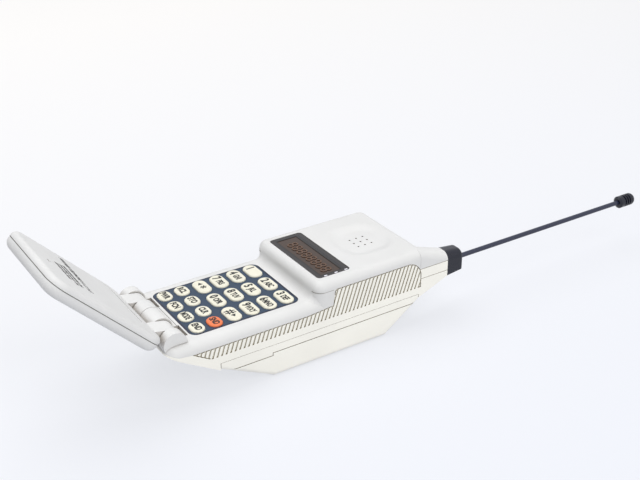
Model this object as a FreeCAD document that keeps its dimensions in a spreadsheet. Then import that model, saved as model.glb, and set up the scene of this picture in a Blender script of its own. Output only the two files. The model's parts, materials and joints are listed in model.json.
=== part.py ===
import FreeCAD, Part
import os
import re
import Sketcher
from math import pi

# A hand-held flip telephone with a pull-out antenna, in millimetres.
# +X runs along the length towards the antenna, +Z out of the keypad face, and Y across.
# The origin is the centre of the battery's flat bottom, which the telephone rests on.

V = FreeCAD.Vector
TINY = 1e-4
doc = FreeCAD.newDocument("flip_telephone")
dims = doc.addObject("Spreadsheet::Sheet", "Dims")

SIZES = {
    # housings
    "half_width": 29.6,
    "wall": 1.8,
    "hinge_end": -87.8,
    "top_end": 58.6,
    "deck_top": 32.7,
    "hood_top": 42.3,
    "hood_front": -8.3,
    "deck_round": 4.9,
    "hood_round": 4.2,
    "end_corner": 6.0,
    "hood_corner": 5.0,
    "cove_radius": 4.0,
    "cove_root": 1.0,
    "cove_turn": 2.6,
    "cove_end": 4.2,
    "cove_end_radius": 1.8,
    "room_corner": 1.4,
    "chin_tip": 30.4,
    "chin_foot": 29.8,
    "chin_step_x": -82.3,
    "chin_step_z": 28.3,
    "bay_top": 18.1,
    "bay_start": -61.8,
    "bay_end": 53.7,
    "bay_lip": 14.2,
    "bay_end_lip": 16.1,
    # slanted rib grips on both sides
    "grip_tip_x": -75.7,
    "grip_low_top": 27.5,
    "grip_rise_x": -13.5,
    "grip_step_x": 2.0,
    "grip_step_z": 28.7,
    "grip_high_top": 37.4,
    "grip_bottom": 22.0,
    "grip_end_radius": 8.7,
    "grip_end_x": 55.0,
    "grip_tip_run": 9.2,
    "rib_pitch": 2.38,
    "rib_groove": 0.95,
    "rib_depth": 0.5,
    "rib_lean": 1.85,
    "line_wide": 0.45,
    "line_fine": 0.25,
    "neck_second_line": 26.9,
    # neck and antenna
    "neck_width": 11.0,
    "neck_line": 32.5,
    "neck_end": 72.2,
    "neck_top": 36.5,
    "neck_foot": 17.3,
    "neck_bottom": 23.4,
    "neck_round": 4.2,
    "collar_length": 10.5,
    "collar_drop": 1.2,
    "collar_round": 1.6,
    "antenna_y": -24.1,
    "antenna_z": 28.8,
    "rod_radius": 1.3,
    "rod_length": 136.0,
    "rod_start": 67.0,
    "tip_radius": 3.5,
    "tip_length": 12.0,
    "tip_groove": 0.6,
    "ferrule_radius": 1.55,
    "ferrule_length": 4.9,
    "guide_radius": 2.0,
    "guide_bore": 1.65,
    "guide_start": -54.5,
    "running_fit": 0.05,
    # hinge and flip
    "hinge_x": -81.7,
    "hinge_z": 33.3,
    "barrel_radius": 5.9,
    "barrel_half": 25.5,
    "barrel_seam_y": 1.7,
    "pin_radius": 1.2,
    "pin_half": 23.8,
    "tab_inner": 10.3,
    "tab_outer": 19.8,
    "tab_radius": 4.9,
    "tab_gap": 0.3,
    "slot_reach": 8.8,
    "slot_floor": 29.4,
    "slot_back": 31.4,
    "deck_line": -73.6,
    "flip_open": 133.8,
    "flip_start": 6.9,
    "flip_length": 72.8,
    "flip_half": 29.3,
    "flip_inside": 0.8,
    "flip_seam": 3.7,
    "flip_outside": 9.0,
    "flip_corner": 8.0,
    "flip_round": 4.0,
    "flip_roll": 2.4,
    "flip_line": 14.4,
    "flip_line_near": -14.5,
    "flip_line_far": 20.5,
    "flip_line_slant": 3.5,
    "flip_wall": 1.5,
    "mic_inset": 9.4,
    "mic_y": 0.0,
    "mic_radius": 3.0,
    "mic_height": 3.2,
    "mic_port": 2.6,
    # keypad
    "panel_left": -72.0,
    "panel_right": -13.2,
    "panel_half": 22.7,
    "panel_corner": 4.2,
    "panel_thick": 0.8,
    "panel_ledge": 0.35,
    "fit_gap": 0.1,
    "key_proud": 0.8,
    "key_travel": 0.7,
    "key_gap": 0.2,
    "key_flange": 0.45,
    "key_flange_thick": 0.6,
    "key_edge": 0.4,
    "row_one": -18.7,
    "row_pitch": 9.6,
    "column_pitch": 15.3,
    "key_long": 12.6,
    "key_wide": 7.2,
    "small_row_one": -57.6,
    "small_row_pitch": 9.3,
    "small_column_pitch": 11.4,
    "small_long": 8.8,
    "small_wide": 7.0,
    "membrane_thick": 0.9,
    # display
    "window_left": -3.8,
    "window_right": 15.1,
    "window_half": 23.7,
    "window_corner": 2.0,
    "window_thick": 1.3,
    "window_sunk": 0.2,
    "window_ledge": 1.6,
    "sight_left": -0.6,
    "sight_right": 11.0,
    "sight_half": 21.0,
    "digit_pitch": 4.8,
    "digit_wide": 3.2,
    "digit_long": 6.4,
    "digit_height": 0.6,
    # earpiece
    "ear_x": 37.4,
    "dish_x": 36.8,
    "ear_side": 31.2,
    "ear_corner": 12.0,
    "ear_floor": 23.0,
    "ear_floor_corner": 8.0,
    "ear_depth": 1.7,
    "ear_soft": 9.0,
    "ear_hole_pitch": 4.1,
    "ear_hole_radius": 0.55,
    "speaker_radius": 12.0,
    "speaker_height": 4.6,
    # inner pieces
    "board_thick": 1.2,
    "board_left": -70.0,
    "board_right": 47.5,
    "board_near": -21.2,
    "board_far": 27.2,
    "boss_radius": 3.0,
    "boss_left": 17.8,
    "boss_right": 51.3,
    "boss_half": 18.6,
    "screw_seat": 33.6,
    "screw_radius": 1.0,
    "screw_length": 6.2,
    "screw_head": 1.8,
    "screw_head_height": 1.4,
    "shield_height": 4.0,
    "shield_wall": 0.5,
    "shield_left": -45.0,
    "shield_right": 12.0,
    "ringer_x": 33.0,
    "ringer_radius": 8.5,
    "ringer_height": 4.4,
    "contact_x": -50.0,
    "contact_pitch": 8.0,
    "contact_radius": 1.0,
    "terminal_half": 2.5,
    "terminal_thick": 0.4,
    # battery
    "battery_gap": 0.15,
    "battery_flat_left": -32.9,
    "battery_flat_right": 33.3,
    "battery_left": -61.5,
    "battery_right": 53.4,
    "battery_left_foot": 14.1,
    "battery_right_foot": 14.0,
    "battery_round": 2.5,
    "battery_wall": 1.5,
    "seam_low": 12.4,
    "seam_high": 13.9,
    "seam_step": -33.5,
    "seam_gap": 0.35,
    "seam_depth": 0.5,
    "cell_radius": 7.15,
    "cell_length": 50.0,
    "cell_pitch": 14.7,
    "latch_half": 8.0,
    "latch_top": 16.8,
    "latch_bottom": 9.6,
    "latch_reach": 6.5,
    "latch_travel": 2.0,
    "latch_gap": 0.3,
    "nose_reach": 1.2,
}

for number, (alias, size) in enumerate(SIZES.items(), 1):
    dims.set("A%d" % number, alias)
    dims.set("B%d" % number, str(size))
    dims.setAlias("B%d" % number, alias)
doc.recompute()


def dim(expression):
    """The value of an expression in the sheet's own sizes."""
    return float(dims.evalExpression(expression))


def link(expression):
    """The same expression as another object has to write it."""
    return re.sub(r"[a-z][a-z_]+", lambda word: "Dims." + word.group(0), expression)


# ---------------------------------------------------------------- sketches and features

def new_body(label):
    body = doc.addObject("PartDesign::Body", label)
    body.Label = label
    return body


def new_sketch(body, plane, offset="0"):
    """Empty sketch on one of the body's own planes, moved along that plane's normal.
    The normals are +Z on XY_Plane, -Y on XZ_Plane and +X on YZ_Plane."""
    sketch = body.newObject("Sketcher::SketchObject", body.Name + "_outline")
    support = [item for item in body.Origin.OriginFeatures if item.Role == plane][0]
    sketch.AttachmentSupport = [(support, "")]
    sketch.MapMode = "FlatFace"
    sketch.setExpression("AttachmentOffset.Base.z", link(offset))
    return sketch


def hold(sketch, kind, element, point, expression):
    """Fix one coordinate of a point of the sketch to an expression."""
    size = dim(expression)
    if abs(size) < TINY:
        axis = -2 if kind == "DistanceX" else -1
        sketch.addConstraint(Sketcher.Constraint("PointOnObject", element, point, axis))
        return
    number = sketch.addConstraint(Sketcher.Constraint(kind, -1, 1, element, point, size))
    sketch.setExpression("Constraints[%d]" % number, link(expression))


def polygon(sketch, corners):
    """Closed outline of straight sides, each corner held in both directions."""
    first = sketch.GeometryCount
    count = len(corners)
    spots = [V(dim(x), dim(y), 0) for x, y in corners]
    for index in range(count):
        sketch.addGeometry(Part.LineSegment(spots[index], spots[(index + 1) % count]))
    for index in range(count):
        follower = first + (index + 1) % count
        sketch.addConstraint(Sketcher.Constraint("Coincident", first + index, 2, follower, 1))
    for index, (x, y) in enumerate(corners):
        hold(sketch, "DistanceX", first + index, 1, x)
        hold(sketch, "DistanceY", first + index, 1, y)


def rectangle(sketch, left, right, low, high):
    polygon(sketch, [(left, low), (right, low), (right, high), (left, high)])


def rounded_rectangle(sketch, left, right, low, high, radius):
    """Rectangle whose four corners are arcs of one radius, drawn from the upper right."""
    bend = dim(radius)
    first = sketch.GeometryCount
    sides = ((right, high), (left, high), (left, low), (right, low))
    ends = []
    for turn, (side_x, side_y) in enumerate(sides):
        inward_x = bend if side_x == left else -bend
        inward_y = bend if side_y == low else -bend
        centre = V(dim(side_x) + inward_x, dim(side_y) + inward_y, 0)
        round_corner = Part.Circle(centre, V(0, 0, 1), bend)
        arc = Part.ArcOfCircle(round_corner, turn * pi / 2, (turn + 1) * pi / 2)
        ends.append((arc.StartPoint, arc.EndPoint))
        sketch.addGeometry(arc)
    for turn in range(4):
        follower = (turn + 1) % 4
        sketch.addGeometry(Part.LineSegment(ends[turn][1], ends[follower][0]))
    for turn in range(4):
        arc, line, follower = first + turn, first + 4 + turn, first + (turn + 1) % 4
        sketch.addConstraint(Sketcher.Constraint("Tangent", arc, 2, line, 1))
        sketch.addConstraint(Sketcher.Constraint("Tangent", line, 2, follower, 1))
        sketch.addConstraint(Sketcher.Constraint("Vertical" if turn % 2 else "Horizontal", line))
    for turn in range(1, 4):
        sketch.addConstraint(Sketcher.Constraint("Equal", first, first + turn))
    limit = sketch.addConstraint(Sketcher.Constraint("Radius", first, bend))
    sketch.setExpression("Constraints[%d]" % limit, link(radius))
    hold(sketch, "DistanceY", first + 4, 1, high)
    hold(sketch, "DistanceX", first + 5, 1, left)
    hold(sketch, "DistanceY", first + 6, 1, low)
    hold(sketch, "DistanceX", first + 7, 1, right)


def circle(sketch, x, y, radius):
    number = sketch.addGeometry(Part.Circle(V(dim(x), dim(y), 0), V(0, 0, 1), dim(radius)))
    hold(sketch, "DistanceX", number, 3, x)
    hold(sketch, "DistanceY", number, 3, y)
    limit = sketch.addConstraint(Sketcher.Constraint("Radius", number, dim(radius)))
    sketch.setExpression("Constraints[%d]" % limit, link(radius))


def feature(body, kind, sketch, length, symmetric=False, turned=False, taper=None):
    """Pad or Pocket of a sketch, checked to add or remove material."""
    doc.recompute()
    before = body.Shape.Volume if body.Tip else 0.0
    made = body.newObject("PartDesign::" + kind, body.Name + "_" + kind.lower())
    made.Profile = sketch
    made.SideType = "Symmetric" if symmetric else "One side"
    made.Reversed = turned
    made.setExpression("Length", link(length))
    if taper:
        made.setExpression("TaperAngle", link(taper))
    doc.recompute()
    change = made.Shape.Volume - before
    if (kind == "Pad") != (change > 0) or abs(change) < TINY:
        raise ValueError("%s of %s changed nothing" % (kind, body.Label))
    return made


def pad(body, sketch, length, **options):
    return feature(body, "Pad", sketch, length, **options)


def pocket(body, sketch, length, **options):
    return feature(body, "Pocket", sketch, length, **options)


def spans(edge, axis):
    """True for a straight edge that runs along one axis only."""
    box = edge.BoundBox
    sides = {"x": box.XLength, "y": box.YLength, "z": box.ZLength}
    along = sides.pop(axis)
    return along > TINY and max(sides.values()) < TINY


def at(edge, x=None, y=None, z=None, near=0.01):
    """True where the edge's middle has the given coordinates."""
    middle = edge.BoundBox.Center
    wanted = ((middle.x, x), (middle.y, y), (middle.z, z))
    return all(place is None or abs(value - place) < near for value, place in wanted)


def dress(body, kind, size, chosen):
    """Fillet or Chamfer on the edges that the test chooses."""
    doc.recompute()
    base = body.Tip
    names = ["Edge%d" % n for n, edge in enumerate(base.Shape.Edges, 1) if chosen(edge)]
    if not names:
        raise ValueError("no edge to dress on " + body.Label)
    made = body.newObject("PartDesign::" + kind, body.Name + "_" + kind.lower())
    made.Base = (base, names)
    made.setExpression("Radius" if kind == "Fillet" else "Size", link(size))
    doc.recompute()
    return made


def fillet(body, radius, chosen):
    return dress(body, "Fillet", radius, chosen)


def chamfer(body, size, chosen):
    return dress(body, "Chamfer", size, chosen)


def grid(body, first, sketch, along, across):
    """Repeat a feature in rows and columns, each given as a length and a count."""
    many = body.newObject("PartDesign::MultiTransform", body.Name + "_grid")
    many.Originals = [first]
    patterns = []
    for axis, (length, count) in (("H_Axis", along), ("V_Axis", across)):
        pattern = body.newObject("PartDesign::LinearPattern", body.Name + "_row")
        pattern.Direction = (sketch, [axis])
        pattern.setExpression("Length", link(length))
        pattern.Occurrences = count
        patterns.append(pattern)
    many.Transformations = patterns
    body.Tip = many
    doc.recompute()


def place(item, x="0", y="0", z="0"):
    item.setExpression("Placement.Base.x", link(x))
    item.setExpression("Placement.Base.y", link(y))
    item.setExpression("Placement.Base.z", link(z))


# ---------------------------------------------------------------- housings

def outer_form(body):
    """Both housings in one: the keypad deck, the raised hood and the hinge end."""
    side = new_sketch(body, "XZ_Plane")
    polygon(side, [
        ("hinge_end", "deck_top"), ("hinge_end", "chin_foot"),
        ("bay_start", "bay_lip"), ("bay_start", "bay_top"),
        ("bay_end", "bay_top"), ("bay_end", "bay_end_lip"),
        ("top_end", "bay_end_lip + (top_end - bay_end) / 2"), ("top_end", "deck_top"),
    ])
    pad(body, side, "2 * half_width", symmetric=True)
    end = dim("hinge_end")
    fillet(body, "end_corner", lambda edge: spans(edge, "z") and at(edge, x=end))
    top = dim("deck_top")
    last = dim("top_end")
    fillet(body, "deck_round", lambda edge: at(edge, z=top) and not at(edge, x=last))
    hood = new_sketch(body, "XY_Plane", "grip_step_z - 2")
    rounded_rectangle(hood, "hood_front", "top_end", "-half_width", "half_width", "hood_corner")
    pad(body, hood, "hood_top - grip_step_z + 2")
    roof = dim("hood_top")
    fillet(body, "hood_round", lambda edge: at(edge, z=roof))


def neck(body):
    """Shoulder that carries the antenna, on one side only, lofted down to the collar."""
    sections = []
    for x, low, high in (
        ("top_end - hood_round", "neck_foot", "hood_top"),
        ("neck_end", "neck_bottom", "neck_top"),
    ):
        section = new_sketch(body, "YZ_Plane", x)
        rounded_rectangle(
            section, "-half_width", "neck_width - half_width",
            low + " - 2 * neck_round", high, "neck_round",
        )
        sections.append(section)
    doc.recompute()
    loft = body.newObject("PartDesign::AdditiveLoft", "neck_loft")
    loft.Profile = sections[0]
    loft.Sections = [sections[1]]
    loft.Ruled = True
    doc.recompute()
    under = new_sketch(body, "XZ_Plane", "half_width + wall")
    polygon(under, [
        ("bay_end", "bay_end_lip"), ("neck_end + wall", "neck_bottom + wall / 3"),
        ("neck_end + wall", "-hood_top"), ("bay_end", "-hood_top"),
    ])
    pocket(body, under, "neck_width + 2 * wall")


def cove_section(body, offset, past, radius):
    """One section of the cove, where the hood's corner and the deck's edge have both curved away."""
    side = new_sketch(body, "XZ_Plane", offset)
    face = "(hood_front + hood_corner - (hood_corner ^ 2 - %s ^ 2) ^ 0.5)" % past
    deck = "(deck_top - deck_round + (deck_round ^ 2 - %s ^ 2) ^ 0.5)" % past
    middle = (face + " - " + radius, deck + " + " + radius)
    bend, root = dim(radius), dim("cove_root")
    centre = V(dim(middle[0]), dim(middle[1]), 0)
    arc = Part.ArcOfCircle(Part.Circle(centre, V(0, 0, 1), bend), 1.5 * pi, 2 * pi)
    corners = [
        arc.EndPoint, arc.EndPoint + V(root, 0, 0),
        arc.StartPoint + V(bend + root, -root, 0), arc.StartPoint + V(0, -root, 0),
        arc.StartPoint,
    ]
    curve = side.addGeometry(arc)
    lines = [side.addGeometry(Part.LineSegment(*ends)) for ends in zip(corners, corners[1:])]
    chain = [curve] + lines
    for one, other in zip(chain, chain[1:]):
        side.addConstraint(Sketcher.Constraint("Coincident", one, 2, other, 1))
    side.addConstraint(Sketcher.Constraint("Coincident", lines[-1], 2, curve, 1))
    hold(side, "DistanceX", curve, 3, middle[0])
    hold(side, "DistanceY", curve, 3, middle[1])
    hold(side, "DistanceX", curve, 1, middle[0])
    hold(side, "DistanceX", curve, 2, face)
    hold(side, "DistanceY", curve, 2, middle[1])
    for corner, (x, z) in zip(lines[1:], (
        (face + " + cove_root", middle[1]),
        (face + " + cove_root", deck + " - cove_root"),
        (middle[0], deck + " - cove_root"),
    )):
        hold(side, "DistanceX", corner, 1, x)
        hold(side, "DistanceY", corner, 1, z)
    return side


def cove(body):
    """Hollow curve between the deck and the hood, growing smaller round the hood's corners."""
    level = "(half_width - hood_corner)"
    for way in ("", "-"):
        sections = [
            cove_section(body, "0", "0", "cove_radius"),
            cove_section(body, way + level, "0", "cove_radius"),
            cove_section(body, way + "(" + level + " + cove_turn)", "cove_turn",
                         "(cove_radius + cove_end_radius) / 2"),
            cove_section(body, way + "(" + level + " + cove_end)", "cove_end",
                         "cove_end_radius"),
        ]
        doc.recompute()
        loft = body.newObject("PartDesign::AdditiveLoft", "cove_loft")
        loft.Profile = sections[0]
        loft.Sections = sections[1:]
        loft.Ruled = True
        doc.recompute()


def hinge_end(body):
    """Barrel across the hinge end, cut away where the flip's two arms turn."""
    barrel = new_sketch(body, "XZ_Plane")
    circle(barrel, "hinge_x", "hinge_z", "barrel_radius")
    pad(body, barrel, "2 * barrel_half", symmetric=True)
    for low in ("-(tab_inner - tab_gap)", "tab_outer + tab_gap"):
        turn = new_sketch(body, "XZ_Plane", low)
        circle(turn, "hinge_x", "hinge_z", "tab_radius + 2 * tab_gap")
        pocket(body, turn, "tab_outer - tab_inner + 2 * tab_gap")
        slot = new_sketch(body, "XZ_Plane", low)
        polygon(slot, [
            ("hinge_x - flip_start", "slot_back"), ("hinge_x", "slot_back"),
            ("hinge_x", "slot_floor"), ("hinge_x + slot_reach", "slot_floor"),
            ("hinge_x + slot_reach", "hinge_z + flip_start"),
            ("hinge_x - flip_start", "hinge_z + flip_start"),
        ])
        pocket(body, slot, "tab_outer - tab_inner + 2 * tab_gap")
    seam = new_sketch(body, "XZ_Plane", "line_fine / 2 - barrel_seam_y")
    circle(seam, "hinge_x", "hinge_z", "barrel_radius - line_fine")
    circle(seam, "hinge_x", "hinge_z", "barrel_radius + tab_gap")
    pocket(body, seam, "line_fine")
    line = new_sketch(body, "XY_Plane", "deck_top")
    rectangle(line, "deck_line - line_fine", "deck_line", "-tab_inner", "tab_inner")
    pocket(body, line, "line_fine")
    bore = new_sketch(body, "XZ_Plane")
    circle(bore, "hinge_x", "hinge_z", "pin_radius + running_fit")
    pocket(body, bore, "2 * pin_half + running_fit", symmetric=True)


def room(body, start, end, roof):
    """Room for the works between two stations, with its upper corners cut to follow the skin."""
    section = new_sketch(body, "YZ_Plane", start)
    inner = "(half_width - wall)"
    polygon(section, [
        ("-" + inner, "bay_top + wall"), (inner, "bay_top + wall"),
        (inner, roof + " - room_corner"), (inner + " - room_corner", roof),
        ("room_corner - " + inner, roof), ("-" + inner, roof + " - room_corner"),
    ])
    pocket(body, section, end + " - (" + start + ")", turned=True)


def inside(body):
    """Hollow under the deck, under the hood and through the neck."""
    room(body, "hinge_x + slot_reach + wall", "top_end - wall", "(deck_top - wall)")
    room(body, "hood_front + wall", "top_end - wall", "(hood_top - wall)")
    neck_room = new_sketch(body, "YZ_Plane", "neck_end")
    rectangle(
        neck_room, "wall - half_width", "neck_width - half_width - wall",
        "neck_bottom + wall", "neck_top - 2 * wall",
    )
    pocket(body, neck_room, "neck_end - top_end + 2 * wall")


def keypad_recess(body):
    """Shallow seat for the keypad panel round an opening for the keys."""
    seat = new_sketch(body, "XY_Plane", "deck_top")
    rounded_rectangle(
        seat, "panel_left - fit_gap", "panel_right + fit_gap",
        "-(panel_half + fit_gap)", "panel_half + fit_gap", "panel_corner",
    )
    pocket(body, seat, "panel_thick")
    opening = new_sketch(body, "XY_Plane", "deck_top")
    rounded_rectangle(
        opening, "panel_left + panel_ledge", "panel_right - panel_ledge",
        "panel_ledge - panel_half", "panel_half - panel_ledge", "panel_corner - panel_ledge",
    )
    pocket(body, opening, "2 * wall")


def display_recess(body):
    """Seat for the display window round the opening that the digits show through."""
    seat = new_sketch(body, "XY_Plane", "hood_top")
    rounded_rectangle(
        seat, "window_left - fit_gap", "window_right + fit_gap",
        "-(window_half + fit_gap)", "window_half + fit_gap", "window_corner",
    )
    pocket(body, seat, "window_thick + window_sunk")
    opening = new_sketch(body, "XY_Plane", "hood_top")
    rectangle(
        opening, "window_left + window_ledge", "window_right - window_ledge",
        "window_ledge - window_half", "window_half - window_ledge",
    )
    pocket(body, opening, "2 * wall")


def earpiece_dish(body):
    """Thickened roof, soft sunk dish and grid of sound holes over the earpiece."""
    half = "(ear_side / 2)"
    roof = new_sketch(body, "XY_Plane", "hood_top - wall - ear_depth")
    rounded_rectangle(roof, "dish_x - " + half, "dish_x + " + half, "-" + half, half, "ear_corner")
    pad(body, roof, "wall + ear_depth")
    rims = []
    for level, side, corner in (
        ("hood_top", "ear_side", "ear_corner"),
        ("hood_top - ear_depth", "ear_floor", "ear_floor_corner"),
    ):
        rim = new_sketch(body, "XY_Plane", level)
        rounded_rectangle(rim, "dish_x - %s / 2" % side, "dish_x + %s / 2" % side,
                          "-%s / 2" % side, "%s / 2" % side, corner)
        rims.append(rim)
    doc.recompute()
    dish = body.newObject("PartDesign::SubtractiveLoft", "earpiece_dish")
    dish.Profile = rims[0]
    dish.Sections = [rims[1]]
    doc.recompute()
    top, floor = dim("hood_top"), dim("hood_top - ear_depth")
    left, reach = dim("dish_x"), dim("ear_side / 2")
    for height in (top, floor):
        fillet(body, "ear_soft", lambda edge: all(
            abs(spot.Z - height) < 0.001 and abs(spot.X - left) < reach + 0.001
            and abs(spot.Y) < reach + 0.001 for spot in edge.Vertexes))
    hole = new_sketch(body, "XY_Plane", "hood_top")
    circle(hole, "ear_x - ear_hole_pitch", "-ear_hole_pitch", "ear_hole_radius")
    first = pocket(body, hole, "3 * wall")
    pitch = ("2 * ear_hole_pitch", 3)
    grid(body, first, hole, pitch, pitch)


def screw_columns(body):
    """Four hollow columns that the housing screws clamp together."""
    columns = new_sketch(body, "XY_Plane", "bay_top + wall / 2")
    bores = new_sketch(body, "XY_Plane", "bay_top")
    pilots = new_sketch(body, "XY_Plane", "bay_top")
    for x in ("boss_left", "boss_right"):
        for y in ("boss_half", "-boss_half"):
            circle(columns, x, y, "boss_radius")
            circle(bores, x, y, "screw_head + 2 * fit_gap")
            circle(pilots, x, y, "screw_radius + fit_gap")
    pad(body, columns, "hood_top - wall + fit_gap - bay_top - wall / 2")
    pocket(body, bores, "screw_seat - bay_top", turned=True)
    pocket(body, pilots, "screw_seat + screw_length + fit_gap - bay_top", turned=True)


def contact_holes(body):
    """Row of holes through the bay for the spring contacts."""
    holes = new_sketch(body, "XY_Plane", "bay_top")
    for y in ("-contact_pitch", "0", "contact_pitch"):
        circle(holes, "contact_x", y, "contact_radius + fit_gap")
    pocket(body, holes, "wall", turned=True)


def latch_notch(body):
    """Notch in the bay's end wall, open downwards, for the nose of the battery latch."""
    notch = new_sketch(body, "XZ_Plane")
    rectangle(notch, "bay_end - fit_gap", "bay_end + nose_reach + fit_gap",
              "bay_end_lip - wall", "latch_top + latch_gap")
    pocket(body, notch, "2 * (latch_half + latch_gap)", symmetric=True)


def parting_block():
    """Everything above the line where the two housings meet."""
    block = new_body("parting_block")
    side = new_sketch(block, "XZ_Plane")
    polygon(side, [
        ("hinge_end - wall", "chin_tip"), ("hinge_end", "chin_tip"),
        ("chin_step_x", "chin_step_z"), ("grip_tip_x", "grip_low_top"),
        ("grip_rise_x", "grip_low_top"), ("grip_step_x - 1", "grip_step_z"),
        ("grip_step_x", "grip_high_top - 1"), ("grip_step_x + 1", "grip_high_top"),
        ("grip_end_x - grip_end_radius", "grip_high_top"),
        ("grip_end_x - grip_end_radius", "neck_line"),
        ("neck_end + wall", "neck_line"),
        ("neck_end + wall", "2 * hood_top"), ("hinge_end - wall", "2 * hood_top"),
    ])
    pad(block, side, "3 * half_width", symmetric=True)
    round_end = new_sketch(block, "XZ_Plane")
    circle(round_end, "grip_end_x - grip_end_radius", "grip_high_top - grip_end_radius",
           "grip_end_radius")
    pocket(block, round_end, "3 * half_width", symmetric=True)
    return block


def grip_face():
    """Outline of one grip on its side wall, under the parting line and round its far end."""
    low_end, step_x, bottom = dim("grip_rise_x"), dim("grip_step_x"), dim("grip_bottom")
    high, radius = dim("grip_high_top"), dim("grip_end_radius")
    end = dim("grip_end_x")
    tip = (dim("grip_tip_x"), dim("grip_low_top"))
    corners = [
        (end, high - radius), (end, bottom), (tip[0] + dim("grip_tip_run"), bottom), tip,
        (low_end, tip[1]), (step_x - 1, dim("grip_step_z")), (step_x, high - 1),
        (step_x + 1, high), (end - radius, high),
    ]
    spots = [V(x, 0, z) for x, z in corners]
    sides = [Part.makeLine(*ends) for ends in zip(spots, spots[1:])]
    turn = radius * 0.5 ** 0.5
    middle = V(end - radius + turn, 0, high - radius + turn)
    sides.append(Part.Arc(spots[-1], middle, spots[0]).toShape())
    return Part.Face(Part.Wire(sides))


def box_face(left, right, low, high):
    """Flat rectangle in the plane of a side wall."""
    spots = [V(left, 0, low), V(right, 0, low), V(right, 0, high), V(left, 0, high)]
    return Part.Face(Part.makePolygon(spots + spots[:1]))


def on_both_sides(label, face, depth):
    """Cutter that sinks a flat shape into both side walls by a depth."""
    half = dim("half_width")
    cutter = face.copy()
    cutter.translate(V(0, -half - depth, 0))
    near = cutter.extrude(V(0, 2 * depth, 0))
    tool = doc.addObject("Part::Feature", label)
    tool.Shape = Part.makeCompound([near, near.mirror(V(0, 0, 0), V(0, 1, 0))])
    return tool


def grip_grooves():
    """Slanted grooves of both grips, with the line round their top and far end."""
    grip = grip_face()
    bottom, high = dim("grip_bottom"), dim("grip_high_top")
    pitch, width, line = dim("rib_pitch"), dim("rib_groove"), dim("line_wide")
    lean = dim("rib_lean / (grip_low_top - grip_bottom)") * (high - bottom)
    bars = []
    x = dim("grip_tip_x")
    while x < dim("grip_end_x"):
        corners = [V(x, 0, bottom), V(x + width, 0, bottom),
                   V(x + width + lean, 0, high), V(x + lean, 0, high)]
        bars.append(Part.Face(Part.makePolygon(corners + corners[:1])))
        x += pitch
    inner = grip.makeOffset2D(-line)
    edge = grip.cut(inner).cut(box_face(dim("hinge_end"), dim("grip_end_x - wall"),
                                        bottom - line, bottom + line + TINY))
    ribs = grip.common(Part.makeCompound(bars))
    face = edge.fuse(ribs).removeSplitter()
    neck_line = box_face(dim("grip_end_x - line_wide"), dim("neck_end"),
                         dim("neck_line - line_fine"), dim("neck_line"))
    second = box_face(dim("grip_end_x"), dim("neck_end"),
                      dim("neck_second_line - line_fine"), dim("neck_second_line"))
    return [
        on_both_sides("grip_grooves", face, dim("rib_depth")),
        on_both_sides("neck_lines", Part.makeCompound([neck_line, second]), dim("line_fine")),
    ]


def housings():
    """The finished form, split at the parting line into front and rear housings."""
    form = new_body("housing_form")
    outer_form(form)
    neck(form)
    cove(form)
    inside(form)
    hinge_end(form)
    keypad_recess(form)
    display_recess(form)
    earpiece_dish(form)
    screw_columns(form)
    contact_holes(form)
    latch_notch(form)
    block = parting_block()
    front = doc.addObject("Part::Common", "front_housing")
    front.Base = form
    front.Tool = block
    rear_form = doc.addObject("Part::Cut", "rear_form")
    rear_form.Base = form
    rear_form.Tool = block
    grooves, lines = grip_grooves()
    grooved = doc.addObject("Part::Cut", "grooved_rear")
    grooved.Base = rear_form
    grooved.Tool = grooves
    rear = doc.addObject("Part::Cut", "rear_housing")
    rear.Base = grooved
    rear.Tool = lines
    doc.recompute()
    return [front, rear]


# ---------------------------------------------------------------- keypad

KEY_FLOOR = "deck_top - panel_thick - fit_gap / 2 - key_flange_thick"
BOARD_TOP = "(" + KEY_FLOOR + " - key_travel - fit_gap / 2 - membrane_thick)"
MAIN_KEYS = ("one", "two", "three", "four", "five", "six", "seven", "eight", "nine",
             "star", "zero", "pound")
SMALL_KEYS = ("recall", "store", "clear", "send", "power", "function", "mode", "end")


def stadium(sketch, x, y, wide, long, grow="0"):
    """Key outline, long across the telephone, grown all round by a margin."""
    rounded_rectangle(
        sketch,
        "%s - %s / 2 - %s" % (x, wide, grow), "%s + %s / 2 + %s" % (x, wide, grow),
        "%s - %s / 2 - %s" % (y, long, grow), "%s + %s / 2 + %s" % (y, long, grow),
        "%s / 2 + %s - fit_gap" % (wide, grow),
    )


def key(label, x, y, wide, long):
    """Moulded key cap with the flange that keeps it under the panel."""
    body = new_body(label)
    flange = new_sketch(body, "XY_Plane", KEY_FLOOR)
    stadium(flange, x, y, wide, long, "key_flange")
    pad(body, flange, "key_flange_thick")
    cap = new_sketch(body, "XY_Plane", KEY_FLOOR)
    stadium(cap, x, y, wide, long)
    pad(body, cap, "deck_top + key_proud - (" + KEY_FLOOR + ")")
    top = dim("deck_top + key_proud")
    chamfer(body, "key_edge", lambda edge: at(edge, z=top))
    return body


def keys():
    made = []
    for number, name in enumerate(MAIN_KEYS):
        row, column = divmod(number, 3)
        x = "(row_one - %d * row_pitch)" % row
        y = "(%d * column_pitch)" % (1 - column)
        made.append(key("key_" + name, x, y, "key_wide", "key_long"))
    for number, name in enumerate(SMALL_KEYS):
        row, column = divmod(number, 4)
        x = "(small_row_one - %d * small_row_pitch)" % row
        y = "(%.1f * small_column_pitch)" % (1.5 - column)
        made.append(key("key_" + name, x, y, "small_wide", "small_long"))
    return made


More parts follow.
